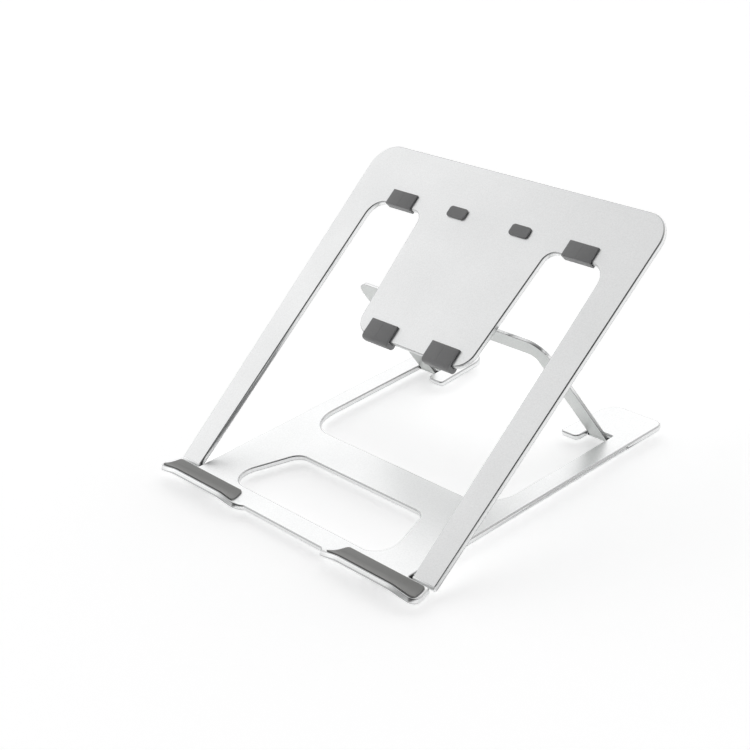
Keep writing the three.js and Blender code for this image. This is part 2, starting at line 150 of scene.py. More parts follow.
def oblong(half_width: float, half_depth: float, radius: float, centre_y: float = 0.0) -> Array:
    """A rectangle with round corners, its middle on the Y axis.

    Args:
        half_width: half its size along X.
        half_depth: half its size along Y.
        radius: radius of its corners.
        centre_y: Y of its middle.

    Returns:
        Its outline.
    """
    front, rear = centre_y - half_depth, centre_y + half_depth
    corners = [(-half_width, front), (half_width, front), (half_width, rear), (-half_width, rear)]
    return rounded_outline([(x, y, radius) for x, y in corners])


def tidy(outline: Array) -> Array:
    """The outline without points that repeat their neighbour."""
    step = np.linalg.norm(outline - np.roll(outline, 1, axis=0), axis=1)
    return outline[step > NEAR]


def counter_clockwise(outline: Array) -> Array:
    """The outline in anticlockwise order, by the sign of its shoelace area.

    Args:
        outline: a closed outline, either way round.

    Returns:
        The same points, turned back to front where they ran clockwise.
    """
    after = np.roll(outline, -1, axis=0)
    area = np.sum(outline[:, 0] * after[:, 1] - after[:, 0] * outline[:, 1])
    return outline if area > 0 else outline[::-1]


def inset(outline: Array, amount: float) -> Array:
    """The outline moved to its left by an amount, each corner along its mitre.

    The mitre of two unit edge normals n1 and n2 is (n1 + n2) / (1 + n1 . n2).

    Args:
        outline: an anticlockwise outline, or a clockwise hole.
        amount: how far each side moves.

    Returns:
        The moved outline, with as many points.
    """
    edge = np.roll(outline, -1, axis=0) - outline
    normal = np.stack([-edge[:, 1], edge[:, 0]], 1) / np.linalg.norm(edge, axis=1)[:, None]
    before = np.roll(normal, 1, axis=0)
    share = 1 + np.sum(normal * before, axis=1)
    return outline + amount * (normal + before) / share[:, None]


# ------------------------------------------------------------------ meshes
@dataclass
class Surface:
    """Points, faces and each face's material number and shading, before it is a mesh."""

    points: Array
    faces: list[tuple[int, ...]]
    finish: list[int]
    smooth: list[bool]

    def joined(self, other: "Surface") -> "Surface":
        """This surface with another shell beside it.

        Args:
            other: the shell that is added.

        Returns:
            Both in one surface, the other's points after this one's.
        """
        shift = len(self.points)
        faces = [tuple(i + shift for i in f) for f in other.faces]
        return Surface(np.concatenate([self.points, other.points]), self.faces + faces,
                       self.finish + other.finish, self.smooth + other.smooth)

    def mapped(self, place: Placing) -> "Surface":
        """This surface with its points put through a function."""
        return Surface(place(self.points), self.faces, self.finish, self.smooth)

    def mirrored(self) -> "Surface":
        """The mirror image across the middle plane, with its faces turned back outwards."""
        faces = [tuple(reversed(f)) for f in self.faces]
        return Surface(self.points * [-1, 1, 1], faces, self.finish, self.smooth)


@dataclass(frozen=True)
class Edge:
    """How the rim between a flat face and a cut side is finished.

    radius is the depth of the rim, steps the facets round it, and finish the number of
    the material the rim takes.
    """

    radius: float
    steps: int = 3
    finish: int = Zone.SKIN

    def profile(self) -> Array:
        """(inset, drop) of each ring: inset r (1 - sin a), drop r (1 - cos a)."""
        a = np.linspace(0, math.pi / 2, self.steps + 1)
        return self.radius * np.stack([1 - np.sin(a), 1 - np.cos(a)], 1)


@dataclass(frozen=True)
class Groove:
    """A fine groove round a slab's side, with sloped walls and a flat floor."""

    height: float
    depth: float
    half_width: float
    floor_share: float = 0.4

    def rings(self) -> list[tuple[float, float]]:
        """(inset, height) of its rings from the top down: plain side, rim, floor, and back."""
        half = [(0, self.half_width * 2), (0, self.half_width),
                (self.depth, self.half_width * self.floor_share)]
        above = [(i, self.height + rise) for i, rise in half]
        return above + [(i, self.height - rise) for i, rise in reversed(half)]


def side_rings(low: float, high: float, edge: Edge, side_finish: int,
               groove: Groove | None) -> tuple[list[tuple[float, float]], list[int]]:
    """The rings of a slab's side from the upper face down: rim, groove, and rim again.

    Args:
        low: height of the lower face.
        high: height of the upper face.
        edge: finish of both rims.
        side_finish: material number of the cut side.
        groove: a groove round the side.

    Returns:
        (inset, height) of each ring, and the material number of each band between two.
    """
    rim = edge.profile()
    middle = groove.rings() if groove else []
    rings = [(i, high - d) for i, d in rim] + middle + [(i, low + d) for i, d in rim[::-1]]
    around = [edge.finish] * edge.steps
    return rings, around + [side_finish] * (len(middle) + 1) + around


def cap_triangles(loops: Sequence[Array]) -> Array:
    """Triangles between an outline and its holes, all anticlockwise seen from above.

    Args:
        loops: the outline and its holes.

    Returns:
        Three point numbers a row, counted through the loops in order.
    """
    triangles = np.array(tessellate_polygon([[Vector((*p, 0)) for p in loop] for loop in loops]))
    a, b, c = (np.concatenate(loops)[triangles[:, k]] for k in range(3))
    turn = (b[:, 0] - a[:, 0]) * (c[:, 1] - a[:, 1]) - (b[:, 1] - a[:, 1]) * (c[:, 0] - a[:, 0])
    triangles[turn < 0] = triangles[turn < 0][:, ::-1]
    return triangles


def slab(outlines: Sequence[Array], low: float, high: float, edge: Edge,
         side_finish: int = Zone.SKIN, groove: Groove | None = None) -> Surface:
    """A flat piece of even thickness, cut to outlines, with finished rims.

    Each outline is repeated as a stack of rings from the upper face to the lower face.
    Neighbouring rings are joined by quads and the two end rings are capped.

    Args:
        outlines: the outer outline, then the holes.
        low: height of the lower face.
        high: height of the upper face.
        edge: finish of both rims.
        side_finish: material number of the cut side.
        groove: a groove round the side.

    Returns:
        The closed surface, its outlines in X-Y and its thickness in Z.
    """
    loops = [counter_clockwise(tidy(outlines[0]))]
    loops += [counter_clockwise(tidy(hole))[::-1] for hole in outlines[1:]]
    rings, bands = side_rings(low, high, edge, side_finish, groove)
    points, faces, finish, upper_rim, lower_rim = [], [], [], [], []
    first = 0
    for loop in loops:
        n = len(loop)
        points += [np.column_stack([inset(loop, i), np.full(n, z)]) for i, z in rings]
        here = np.arange(n)
        after = (here + 1) % n
        for r, band in enumerate(bands):
            upper, lower = first + r * n, first + (r + 1) * n
            quads = np.stack([upper + here, lower + here, lower + after, upper + after], 1)
            faces += [tuple(q) for q in quads.tolist()]
            finish += [band] * n
        upper_rim.append(first + here)
        lower_rim.append(first + len(bands) * n + here)
        first += n * len(rings)
    cloud = np.concatenate(points)
    triangles = cap_triangles([cloud[ring, :2] for ring in upper_rim])
    smooth = [True] * len(faces) + [False] * (2 * len(triangles))
    faces += [tuple(t) for t in np.concatenate(upper_rim)[triangles].tolist()]
    faces += [tuple(t) for t in np.concatenate(lower_rim)[triangles[:, ::-1]].tolist()]
    finish += [Zone.SKIN] * (2 * len(triangles))
    return Surface(cloud, faces, finish, smooth)


def turned(profile: Sequence[tuple[float, float]], sides: int = 40) -> Surface:
    """A round body about the X axis: radius r at length x, for each angle round it.

    Args:
        profile: (x, r) from one end to the other; both ends are on the axis.
        sides: facets round the body.

    Returns:
        The closed surface.
    """
    x, r = np.array(profile[1:-1], float).T
    a = np.linspace(0, 2 * math.pi, sides, endpoint=False)
    grid = np.stack([np.repeat(x, sides), np.outer(r, np.cos(a)).ravel(),
                     np.outer(r, np.sin(a)).ravel()], 1)
    ends = np.array([[profile[0][0], 0, 0], [profile[-1][0], 0, 0]], float)
    count = len(grid)
    here = np.arange(sides)
    after = (here + 1) % sides
    faces: list[tuple[int, ...]] = []
    for k in range(len(x) - 1):
        s, t = k * sides, (k + 1) * sides
        quads = np.stack([s + here, s + after, t + after, t + here], 1)
        faces += [tuple(q) for q in quads.tolist()]
    smooth = [True] * len(faces) + [False] * (2 * sides)
    last = (len(x) - 1) * sides
    faces += [(count, j, i) for i, j in zip(here.tolist(), after.tolist())]
    faces += [(count + 1, last + i, last + j) for i, j in zip(here.tolist(), after.tolist())]
    return Surface(np.concatenate([grid, ends]), faces, [Zone.SKIN] * len(faces), smooth)


def barrel(x0: float, x1: float, radius: float, soft: float) -> Surface:
    """A round bar along X with softened ends, its axis at the origin.

    Args:
        x0: where it starts.
        x1: where it ends.
        radius: its radius.
        soft: radius of the softening at both ends.

    Returns:
        The closed surface.
    """
    a = np.linspace(0, math.pi / 2, FEWEST_STEPS + 1)
    start = [(x0 + soft * (1 - math.sin(t)), radius - soft * (1 - math.cos(t))) for t in a[::-1]]
    profile = [(x0, 0.0), *start, *[(x0 + x1 - x, r) for x, r in reversed(start)], (x1, 0.0)]
    return turned(profile)


def crosswise(surface: Surface) -> Surface:
    """A slab drawn in Y-Z and stacked along X: its plane's axes become Y, Z and X."""
    return surface.mapped(lambda p: p[:, [2, 0, 1]])


def mesh_of(name: str, surface: Surface) -> bpy.types.Mesh:
    """A mesh made of a surface.

    Args:
        name: the mesh's name.
        surface: its points, faces, material numbers and shading.

    Returns:
        The mesh, in the surface's units.
    """
    mesh = bpy.data.meshes.new(name)
    mesh.from_pydata(surface.points, [], surface.faces)
    mesh.polygons.foreach_set("material_index", surface.finish)
    mesh.polygons.foreach_set("use_smooth", surface.smooth)
    return mesh


def surface_of(mesh: bpy.types.Mesh) -> Surface:
    """A mesh read back as a surface.

    Args:
        mesh: the mesh.

    Returns:
        Its points, faces, material numbers and shading.
    """
    points = np.empty(len(mesh.vertices) * 3)
    mesh.vertices.foreach_get("co", points)
    return Surface(points.reshape(-1, 3), [tuple(p.vertices) for p in mesh.polygons],
                   [p.material_index for p in mesh.polygons],
                   [p.use_smooth for p in mesh.polygons])


def linked(name: str, data: bpy.types.ID) -> bpy.types.Object:
    """A new object in the scene.

    Args:
        name: the object's name.
        data: its mesh, light or camera.

    Returns:
        The object.
    """
    made = bpy.data.objects.new(name, data)
    bpy.context.scene.collection.objects.link(made)
    return made


def gridded(surface: Surface, rows: Sequence[float], columns: Sequence[float],
            front_of: float) -> Surface:
    """The surface cut along lines of constant Y and X where it lies in front of a line.

    Args:
        surface: what is cut.
        rows: Y of each cut across.
        columns: X of each cut along.
        front_of: only faces with a point in front of this Y are cut by the columns.

    Returns:
        The same shape with more points in it.
    """
    mesh = mesh_of("cutting", surface)
    bm = bmesh.new()
    bm.from_mesh(mesh)
    for y in rows:
        bmesh.ops.bisect_plane(bm, geom=bm.verts[:] + bm.edges[:] + bm.faces[:], dist=ON_PLANE,
                               plane_co=(0, y, 0), plane_no=(0, 1, 0))
    for x in columns:
        faces = [f for f in bm.faces if min(v.co.y for v in f.verts) < front_of - NEAR
                 and max(v.co.y for v in f.verts) < front_of + NEAR]
        edges = list({e for f in faces for e in f.edges})
        verts = list({v for f in faces for v in f.verts})
        bmesh.ops.bisect_plane(bm, geom=verts + edges + faces, dist=ON_PLANE,
                               plane_co=(x, 0, 0), plane_no=(1, 0, 0))
    bm.to_mesh(mesh)
    bm.free()
    result = surface_of(mesh)
    bpy.data.meshes.remove(mesh)
    return result


def drilled(surface: Surface, plugs: Surface) -> Surface:
    """The surface with the plugs' volume taken out of it.

    Args:
        surface: a closed surface.
        plugs: closed shells, which leave their own finish in the holes.

    Returns:
        The cut surface.
    """
    blank = linked("blank", mesh_of("blank", surface))
    plug = linked("plugs", mesh_of("plugs", plugs))
    cut = blank.modifiers.new("drill", "BOOLEAN")
    cut.operation, cut.solver, cut.object = "DIFFERENCE", "EXACT", plug
    bpy.context.view_layer.update()
    mesh = blank.evaluated_get(bpy.context.evaluated_depsgraph_get()).to_mesh()
    result = surface_of(mesh)
    for made in (blank, plug):
        bpy.data.objects.remove(made)
    return result


# ------------------------------------------------------------------ shader groups
def new_group(name: str, inputs: Sequence[tuple[str, float]],
              outputs: Sequence[str]) -> tuple[Tree, Node, Node]:
    """An empty shader group with float inputs and outputs.

    Args:
        name: the group's name.
        inputs: (name, default) of each input.
        outputs: name of each output.

    Returns:
        The group and its input and output nodes.
    """
    tree = bpy.data.node_groups.new(name, "ShaderNodeTree")
    for label, value in inputs:
        socket = tree.interface.new_socket(label, in_out="INPUT", socket_type="NodeSocketFloat")
        socket.default_value = value
    for label in outputs:
        tree.interface.new_socket(label, in_out="OUTPUT", socket_type="NodeSocketFloat")
    return tree, tree.nodes.new("NodeGroupInput"), tree.nodes.new("NodeGroupOutput")


def math_node(tree: Tree, operation: str, *values: float | Socket) -> Socket:
    """One step of arithmetic in a node tree.

    Args:
        tree: the node tree.
        operation: what the Math node does.
        values: numbers, or other nodes' sockets.

    Returns:
        The socket of the result.
    """
    node = tree.nodes.new("ShaderNodeMath")
    node.operation = operation
    for socket, value in zip(node.inputs, values):
        if isinstance(value, Socket):
            tree.links.new(value, socket)
        else:
            socket.default_value = value
    return node.outputs[0]


def mixed(tree: Tree, first: Socket, second: Socket, share: float = 0.6) -> Socket:
    """Two factors added, the first weighing its share and the second the rest of 1.

    Args:
        tree: the node tree.
        first: the factor that takes the share.
        second: the factor that takes the rest.
        share: weight of the first.

    Returns:
        The socket of the sum.
    """
    return math_node(tree, "ADD", math_node(tree, "MULTIPLY", first, share),
                     math_node(tree, "MULTIPLY", second, 1 - share))


def noise(tree: Tree, scale: float | Socket, detail: float, roughness: float = 0.5) -> Socket:
    """A Noise texture over the piece's own place, in Object coordinates.

    Args:
        tree: the node tree.
        scale: how many marks to a metre.
        detail: how many finer octaves are added.
        roughness: how strong the finer octaves are.

    Returns:
        The socket of its factor.
    """
    place = tree.nodes.new("ShaderNodeTexCoord")
    node = tree.nodes.new("ShaderNodeTexNoise")
    node.inputs["Detail"].default_value = detail
    node.inputs["Roughness"].default_value = roughness
    tree.links.new(place.outputs["Object"], node.inputs["Vector"])
    if isinstance(scale, Socket):
        tree.links.new(scale, node.inputs["Scale"])
    else:
        node.inputs["Scale"].default_value = scale
    return node.outputs["Fac"]


def grain_group() -> Tree:
    """Blasted or moulded grain: fine height, speckle, and broad cloudiness, each 0 to 1."""
    per_metre, coarseness = 1 / MM, 0.45
    tree, given, result = new_group("surface_grain", [("Grain Size", 0.35), ("Cloud Size", 45.0)],
                                    ["Height", "Speckle", "Cloud"])
    fine = math_node(tree, "DIVIDE", per_metre, given.outputs["Grain Size"])
    broad = math_node(tree, "DIVIDE", per_metre, given.outputs["Cloud Size"])
    coarse = math_node(tree, "MULTIPLY", fine, coarseness)
    small, large = noise(tree, fine, detail=2.0), noise(tree, coarse, detail=1.0)
    speckle = noise(tree, coarse, detail=3.0, roughness=0.7)
    tree.links.new(mixed(tree, small, large), result.inputs["Height"])
    tree.links.new(speckle, result.inputs["Speckle"])
    tree.links.new(noise(tree, broad, detail=2.0), result.inputs["Cloud"])
    return tree


def handling_group() -> Tree:
    """Faint marks of handling: sparse smears, 0 where clean and up to 1 where rubbed."""
    clean_below, contrast = 0.24, 4.0
    tree, given, result = new_group("handling_marks", [("Amount", 0.5)], ["Marks"])
    patches = noise(tree, scale=9.0, detail=4.0, roughness=0.6)
    streaks = noise(tree, scale=70.0, detail=3.0, roughness=0.7)
    product = math_node(tree, "MULTIPLY", patches, streaks)
    rubbed = math_node(tree, "SUBTRACT", product, clean_below)
    rubbed = math_node(tree, "MULTIPLY", rubbed, given.outputs["Amount"])
    node = tree.nodes.new("ShaderNodeClamp")
    tree.links.new(math_node(tree, "MULTIPLY", rubbed, contrast), node.inputs["Value"])
    tree.links.new(node.outputs[0], result.inputs["Marks"])
    return tree


GROUPS: dict[str, Tree] = {}


def place_group(tree: Tree, name: str, **values: float) -> Node:
    """A node of a shared group, built the first time it is asked for.

    Args:
        tree: the material's node tree.
        name: grain or handling.
        values: the group's inputs, with spaces as underscores.

    Returns:
        The group node.
    """
    if name not in GROUPS:
        GROUPS[name] = {"grain": grain_group, "handling": handling_group}[name]()
    node = tree.nodes.new("ShaderNodeGroup")
    node.node_tree = GROUPS[name]
    for label, value in values.items():
        node.inputs[label.replace("_", " ")].default_value = value
    return node


def ramp(tree: Tree, factor: Socket, low: Colour, high: Colour,
         between: tuple[float, float] = NOISE_RANGE) -> Socket:
    """A colour that goes from low to high as a factor goes through a range.

    Args:
        tree: the node tree.
        factor: the factor.
        low: colour at the start of the range.
        high: colour at its end.
        between: the range of the factor.

    Returns:
        The socket of the colour.
    """
    node = tree.nodes.new("ShaderNodeValToRGB")
    for element, position, colour in zip(node.color_ramp.elements, between, (low, high)):
        element.position = position
        element.color = (*colour, 1)
    tree.links.new(factor, node.inputs["Fac"])
    return node.outputs["Color"]


def remap(tree: Tree, factor: Socket, low: float, spread: float) -> Socket:
    """A noise's factor stretched to run upwards from low.

    Args:
        tree: the node tree.
        factor: a noise's factor.
        low: the result where the noise is low.
        spread: how much higher it gets.

    Returns:
        The socket of the result.
    """
    node = tree.nodes.new("ShaderNodeMapRange")
    node.inputs["From Min"].default_value, node.inputs["From Max"].default_value = NOISE_RANGE
    node.inputs["To Min"].default_value = low
    node.inputs["To Max"].default_value = low + spread
    tree.links.new(factor, node.inputs["Value"])
    return node.outputs["Result"]


def start_material(name: str) -> tuple[bpy.types.Material, Tree, Node]:
    """A new material with a shader in it.

    Args:
        name: the material's name.

    Returns:
        The material, its node tree and its Principled BSDF.
    """
    material = bpy.data.materials.new(name)
    material.use_nodes = True
    tree = material.node_tree
    return material, tree, tree.nodes["Principled BSDF"]


def bump(tree: Tree, height: Socket, depth: float, strength: float, shader: Node) -> None:
    """A height fed to a shader's Normal.

    Args:
        tree: the material's node tree.
        height: height from 0 to 1.
        depth: real depth of the relief, in millimetres.
        strength: share of it that shows.
        shader: the shader it goes to.
    """
    node = tree.nodes.new("ShaderNodeBump")
    node.inputs["Distance"].default_value = depth * MM
    node.inputs["Strength"].default_value = strength
    tree.links.new(height, node.inputs["Height"])
    tree.links.new(node.outputs["Normal"], shader.inputs["Normal"])


# ------------------------------------------------------------------ finishes
@dataclass(frozen=True)
class BlastedMetal:
    """Bead-blasted and anodised aluminium.

    light and dark are the two shades its speckle runs between, roughness the smoothest it
    gets and spread how much rougher it is in places. The sizes of the blasting marks and of
    the broad clouds, and the depth of the marks, are in millimetres.
    """

    name: str
    light: Colour
    dark: Colour
    roughness: float = 0.36
    spread: float = 0.06
    grain: float = 0.4
    cloud: float = 45.0
    depth: float = 0.02
    relief: float = 0.25
    handling: float = 0.5
    polish: float = 0.05

    def build(self) -> bpy.types.Material:
        """The material: speckled colour, clouded roughness, blasted relief."""
        material, tree, shader = start_material(self.name)
        grain = place_group(tree, "grain", Grain_Size=self.grain, Cloud_Size=self.cloud)
        marks = place_group(tree, "handling", Amount=self.handling)
        colour = ramp(tree, grain.outputs["Speckle"], self.dark, self.light)
        tree.links.new(colour, shader.inputs["Base Color"])
        cloud = remap(tree, grain.outputs["Cloud"], self.roughness, self.spread)
        worn = math_node(tree, "MULTIPLY", marks.outputs["Marks"], -self.polish)
        tree.links.new(math_node(tree, "ADD", cloud, worn), shader.inputs["Roughness"])
        shader.inputs["Metallic"].default_value = 1.0
        bump(tree, grain.outputs["Height"], self.depth, self.relief, shader)
        return material


@dataclass(frozen=True)
class CutMetal:
    """Bare metal where a tool has cut it: smoother than the blasted skin, finely marked."""

    name: str
    light: Colour
    dark: Colour
    roughness: float = 0.2
    spread: float = 0.08
    grain: float = 0.25
    cloud: float = 20.0
    depth: float = 0.012
    relief: float = 0.15

    def build(self) -> bpy.types.Material:
        """The material: fine tool marks in colour, roughness and relief."""
        material, tree, shader = start_material(self.name)
        grain = place_group(tree, "grain", Grain_Size=self.grain, Cloud_Size=self.cloud)
        colour = ramp(tree, grain.outputs["Speckle"], self.dark, self.light)
        tree.links.new(colour, shader.inputs["Base Color"])
        rough = remap(tree, grain.outputs["Cloud"], self.roughness, self.spread)
        tree.links.new(rough, shader.inputs["Roughness"])
        shader.inputs["Metallic"].default_value = 1.0
        bump(tree, grain.outputs["Height"], self.depth, self.relief, shader)
        return material


@dataclass(frozen=True)
class SoftPad:
    """Moulded silicone: even dark colour, faint dust, matt skin with a soft sheen."""

    name: str
    light: Colour
    dark: Colour
    roughness: float = 0.6
    sheen: float = 0.15
    sheen_roughness: float = 0.5
    specular: float = 0.4
    spread: float = 0.12
    grain: float = 0.5
    cloud: float = 14.0
    depth: float = 0.04
    relief: float = 0.35

    def build(self) -> bpy.types.Material:
        """The material: clouded colour, fine moulded grain."""
        material, tree, shader = start_material(self.name)
        grain = place_group(tree, "grain", Grain_Size=self.grain, Cloud_Size=self.cloud)
        dust = mixed(tree, grain.outputs["Cloud"], grain.outputs["Speckle"])
        tree.links.new(ramp(tree, dust, self.dark, self.light), shader.inputs["Base Color"])
        rough = remap(tree, grain.outputs["Cloud"], self.roughness, self.spread)
        tree.links.new(rough, shader.inputs["Roughness"])
        shader.inputs["Sheen Weight"].default_value = self.sheen
        shader.inputs["Sheen Roughness"].default_value = self.sheen_roughness
        shader.inputs["Specular IOR Level"].default_value = self.specular
        bump(tree, grain.outputs["Height"], self.depth, self.relief, shader)
        return material


@dataclass(frozen=True)
class Workshop:
    """Every finish of the stand, built once."""

    plate: BlastedMetal = BlastedMetal("blasted_plate", (0.91, 0.915, 0.915), (0.82, 0.825, 0.825))
    base: BlastedMetal = BlastedMetal("blasted_base", (0.91, 0.915, 0.915), (0.82, 0.825, 0.825))
    # The prop's blasted metal is the plate's metal made darker: painted shade on the bracket.
    prop: BlastedMetal = BlastedMetal("blasted_prop_painted_shade", (0.66, 0.675, 0.665), (0.56, 0.575, 0.565))
    # The rims' colour is far below the metal's own, so every sheet edge shows a dark outline:
    # painted shade and painted dark reflection.
    rim: CutMetal = CutMetal("rim_painted_dark_outline", (0.56, 0.565, 0.565), (0.48, 0.485, 0.485), 0.14)
    side: CutMetal = CutMetal("cut_side", (0.88, 0.885, 0.885), (0.78, 0.785, 0.785), 0.25)
    pin: CutMetal = CutMetal("turned_pin", (0.62, 0.63, 0.64), (0.52, 0.53, 0.54), 0.25)
    screw: CutMetal = CutMetal("plated_screw", (0.56, 0.57, 0.58), (0.44, 0.45, 0.46), 0.3)
    clip: SoftPad = SoftPad("clip_silicone", (0.285, 0.285, 0.287), (0.240, 0.240, 0.242))
    front: SoftPad = SoftPad("strip_silicone", (0.290, 0.290, 0.282), (0.245, 0.245, 0.238))
    foot: SoftPad = SoftPad("foot_silicone", (0.10, 0.10, 0.102), (0.075, 0.075, 0.077))
    washer: SoftPad = SoftPad("washer_nylon", (0.04, 0.04, 0.042), (0.025, 0.025, 0.026), 0.45, 0.0)
    rail: SoftPad = SoftPad("rail_nylon", (0.05, 0.05, 0.052), (0.032, 0.032, 0.033), 0.5, 0.0)

    def build(self) -> dict[str, bpy.types.Material]:
        """The materials by the name of their field."""
        return {name: getattr(self, name).build() for name in self.__dataclass_fields__}


# ------------------------------------------------------------------ frame places
def joint_place(name: str) -> Vector:
    """Where a joint of the frame sits.

    Args:
        name: the joint's name.

    Returns:
        Its place at rest, in millimetres.
    """
    found = next(j for j in frame["joints"] if j["name"] == name)
    return Vector(found["pos_m"]) / MM


def placing(axis_at: Vector, turn: float) -> Placing:
    """A function that turns points about X and moves them to a hinge axis.

    Args:
        axis_at: the hinge axis, in millimetres.
        turn: angle about +X, in radians.

    Returns:
        The function, from a sub-assembly's own plane to the row frame.
    """
    matrix = np.array(Matrix.Rotation(turn, 3, "X"))
    return lambda points: points @ matrix.T + np.array(axis_at)


@dataclass
class Maker:
    """Makes finished pieces from surfaces and puts them on their bodies."""

    materials: dict[str, bpy.types.Material]

    def piece(self, name: str, surface: Surface, finishes: Sequence[str], body: Body,
              slot: str, replaces: Sequence[str]) -> bpy.types.Object:
        """A mesh object in metres that rides on a body.

        Args:
            name: name of the piece.
            surface: its surface in the row frame, in millimetres.
            finishes: finish of each zone.
            body: the body it moves with.
            slot: the record's material slot; not used.
            replaces: CAD nodes it stands for.

        Returns:
            The object.
        """
        mesh = mesh_of(name, surface.mapped(lambda points: points * MM))
        for finish in finishes:
            mesh.materials.append(self.materials[finish])
        mesh.validate()
        mesh.update()
        made = linked(name, mesh)
        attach(made, body.value)
        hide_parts(*replaces)
        LOG.info("%s: %d faces on %s", name, len(mesh.polygons), body.value)
        return made

    def dress(self, node: str, finish: str) -> None:
        """A carried-over CAD node takes a finish.

        Args:
            node: the CAD node.
            finish: the finish it takes.
        """
        mesh = frame["nodes"][node].data
        mesh.materials.clear()
        mesh.materials.append(self.materials[finish])
        LOG.info("%s: dressed with %s", node, finish)


# ------------------------------------------------------------------ sizes that sheets share
SHEET_RIM = Edge(0.75, 3, Zone.RIM)


@dataclass(frozen=True)
class Tongue:
    """The top plate's tongue, which fits between the base's tabs when the stand is folded."""

    end: float = 119.7
    root: float = 206.8
    end_half: float = 50.8
    root_half: float = 56.5

    def half_width(self, y: float) -> float:
        """Half its width at y, on a straight line from its end to its root."""
        share = (y - self.end) / (self.root - self.end)
        return self.end_half + (self.root_half - self.end_half) * share


# ------------------------------------------------------------------ base plate
@dataclass
class Lip:
    """The front lips: the base sheet curled up, with its rise blended in along X."""

    bend_start: float = -9.5
    inside_radius: float = 9.0
    angle: float = math.radians(59)
    inner_end: float = 38.0
    blend: float = 5.0
    outer_end: float = 124.5
    corner: float = 4.0
    corner_run: float = 7.2
    flat_edge: float = -14.1
    taper: float = 22.0
    end_turn: float = 0.5
    end_length: float = 0.9
    least_turn: float = 1e-6
    curl_steps: int = 12
    blend_steps: int = 12
    taper_steps: int = 8

    @staticmethod
    def ease(t: Array) -> Array:
        """Smooth step 3 t^2 - 2 t^3 between 0 and 1."""
        t = np.clip(t, 0, 1)
        return t * t * (3 - 2 * t)

    def fullness(self, x: Array) -> Array:
        """0 at both ends of a lip, 1 past the length over which the ends open out."""
        x = np.abs(x)
        return self.ease(np.minimum(x - self.inner_end, self.outer_end - x) / self.taper)

    def rise(self, x: Array) -> Array:
        """How much of its full curl a lip has at x."""
        opening = self.end_turn + (1 - self.end_turn) * self.fullness(x)
        return self.ease((np.abs(x) - self.inner_end) / self.blend) * opening

    def length(self, x: Array) -> Array:
        """How far the flat blank runs past the bend start at x."""
        flat = self.bend_start - self.flat_edge
        full = self.inside_radius * self.angle
        full = full * (self.end_length + (1 - self.end_length) * self.fullness(x))
        return flat + (full - flat) * np.clip((np.abs(x) - self.inner_end) / self.blend, 0, 1)

    def curl(self, points: Array) -> Array:
        """Bends flat points up: a run past the bend start becomes an arc of the same length.

        With k the turn per length at x, which grows over the blend, the angle is k times
        the run, and a point h above the upper face goes to radius 1/k - h about the centre.

        Args:
            points: places on the flat sheet.

        Returns:
            Where they are once it is bent.
        """
        x, y, z = points.T
        run = np.maximum(self.bend_start - y, 0)
        k = self.rise(x) / self.inside_radius
        bent = (run > 0) & (k > self.least_turn)
        radius = 1 / np.where(bent, k, 1.0)
        height = z - HALF
        a = k * run
        out = points.copy()
        out[:, 1] = np.where(bent, self.bend_start - (radius - height) * np.sin(a), y)
        out[:, 2] = np.where(bent, HALF + radius - (radius - height) * np.cos(a), z)
        return out

    def front(self, x: Array, shorter: float = 0.0) -> Array:
        """Front edge of the flat blank at x, as (x, y) points."""
        return np.stack([x, self.bend_start - self.length(x) + shorter], 1)

    def tapered(self, start: float, end: float, shorter: float = 0.0) -> list[Corner]:
        """Points of the flat front edge, drawn where it is not straight.

        Args:
            start: X of the first point.
            end: X of the last point.
            shorter: how far the points stay back from the edge.

        Returns:
            The points, as corners that aren't rounded.
        """
        inner = np.linspace(start, self.inner_end + self.taper, self.taper_steps + 1)
        outer = np.linspace(self.outer_end - self.taper, end, self.taper_steps + 1)
        edge = self.front(np.concatenate([inner, outer]), shorter)
        return [(float(x), float(y), 0) for x, y in edge]

    def rows(self) -> list[float]:
        """Y of the cuts across the curl, from its start to the sheet's full length."""
        full = self.inside_radius * self.angle
        return [self.bend_start - full * k / self.curl_steps for k in range(self.curl_steps + 1)]

    def columns(self) -> list[float]:
        """X of the cuts through the blended and tapered ends."""
        blended, tapered = self.inner_end + self.blend, self.inner_end + self.taper
        outer = (self.outer_end - self.taper, self.outer_end - self.corner)
        steps = np.concatenate([
            np.linspace(self.inner_end, blended, self.blend_steps + 1),
            np.linspace(blended, tapered, self.taper_steps + 1)[1:],
            np.linspace(*outer, self.taper_steps + 1)])
        return [*steps.tolist(), *(-steps).tolist()]


